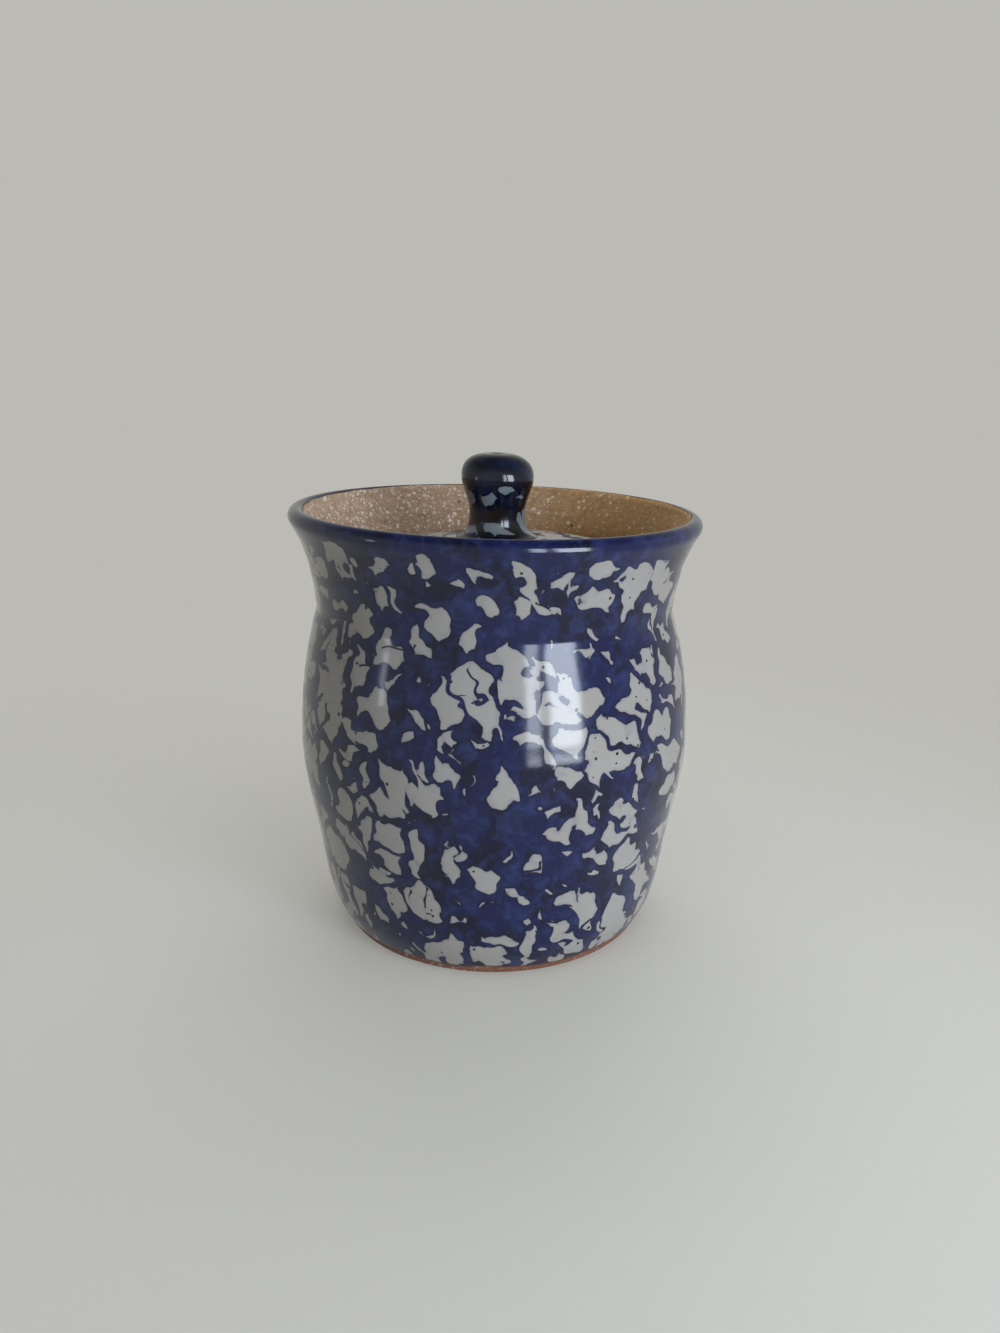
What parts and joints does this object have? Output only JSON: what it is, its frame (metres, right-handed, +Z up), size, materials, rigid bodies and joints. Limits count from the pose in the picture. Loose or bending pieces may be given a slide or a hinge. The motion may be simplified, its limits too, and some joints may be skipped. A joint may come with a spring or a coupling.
{
  "type": "lidded jar",
  "caption": "Round-bellied stoneware jar with a flared mouth and a domed inset lid that lifts off by its knob, in blue sponged glaze over grey.",
  "frame": {"origin": "centre of the foot, on the surface that the jar stands on", "axes": "+Z up along the axis on which the jar, lid and knob were thrown; the picture looks along +Y"},
  "size_m": [0.1088, 0.1088, 0.1284],
  "materials": {
    "jar_glaze": "glossy blue sponged glaze over warm grey, bare clay at the foot and inside the mouth",
    "lid_glaze": "glossy grey glaze with blue sponge marks, bare clay at the seat",
    "knob_glaze": "glossy blue-black glaze"
  },
  "bodies": {
    "jar": {"jar_body": "jar_glaze"},
    "lid_with_knob": {"lid": "lid_glaze", "lid_knob": "knob_glaze"}
  },
  "joints": [
    {"name": "lid_lift", "type": "slide", "parent": "jar", "child": "lid_with_knob", "axis": [0, 0, 1], "range_m": [0, 0.06]}
  ]
}
